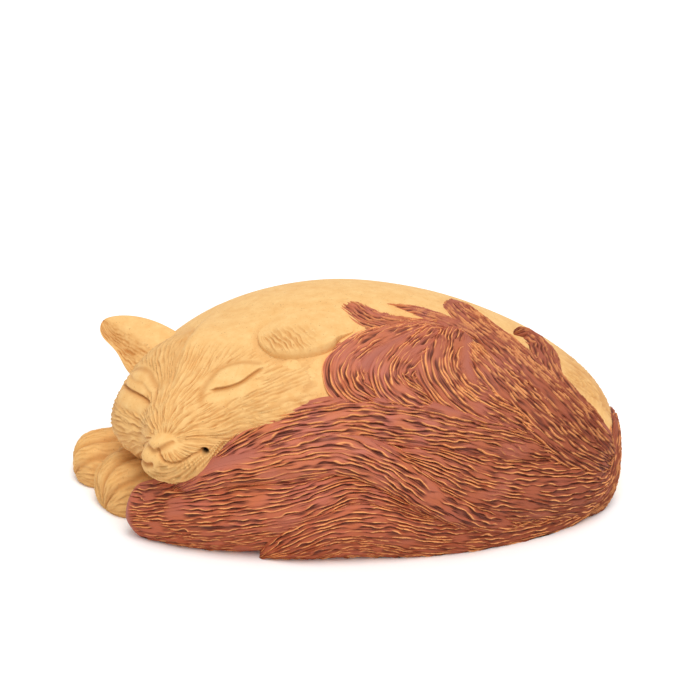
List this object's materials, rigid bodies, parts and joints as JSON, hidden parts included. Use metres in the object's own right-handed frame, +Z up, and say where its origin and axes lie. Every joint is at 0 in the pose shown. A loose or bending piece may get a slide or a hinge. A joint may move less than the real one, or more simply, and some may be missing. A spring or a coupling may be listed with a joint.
{
  "type": "ceramic cat figurine",
  "caption": "Small figurine of a sleeping cat curled up, with a hollow buff clay body and a long tail of carved red-brown locks that wraps round its front.",
  "frame": {"origin": "on the table, under the middle of the whole figurine", "axes": "+X from the head end to the rump, +Y from the tail side to the back, +Z up"},
  "size_m": [0.109, 0.0764, 0.0395],
  "materials": {
    "buff_stoneware": "unglazed, smoothed and lightly burnished",
    "red_stoneware": "unglazed, carved through a red-brown slip"
  },
  "bodies": {
    "root": {"body_shell": "buff_stoneware", "base_plate": "buff_stoneware", "head_shell": "buff_stoneware", "ear_left": "buff_stoneware", "ear_right": "buff_stoneware", "foreleg_left": "buff_stoneware", "foreleg_right": "buff_stoneware", "tail_root": "red_stoneware", "tail_lower_front": "red_stoneware", "tail_bottom_leaf": "red_stoneware", "tail_middle_front": "red_stoneware", "tail_upper_front": "red_stoneware", "tail_right_middle": "red_stoneware", "tail_ridge": "red_stoneware", "tail_crest": "red_stoneware", "tail_curl_outer": "red_stoneware", "tail_curl_middle": "red_stoneware", "tail_curl_inner": "red_stoneware", "tail_tip_left": "red_stoneware", "tail_tip_thin": "red_stoneware", "tail_tip_hook": "red_stoneware"}
  },
  "joints": []
}
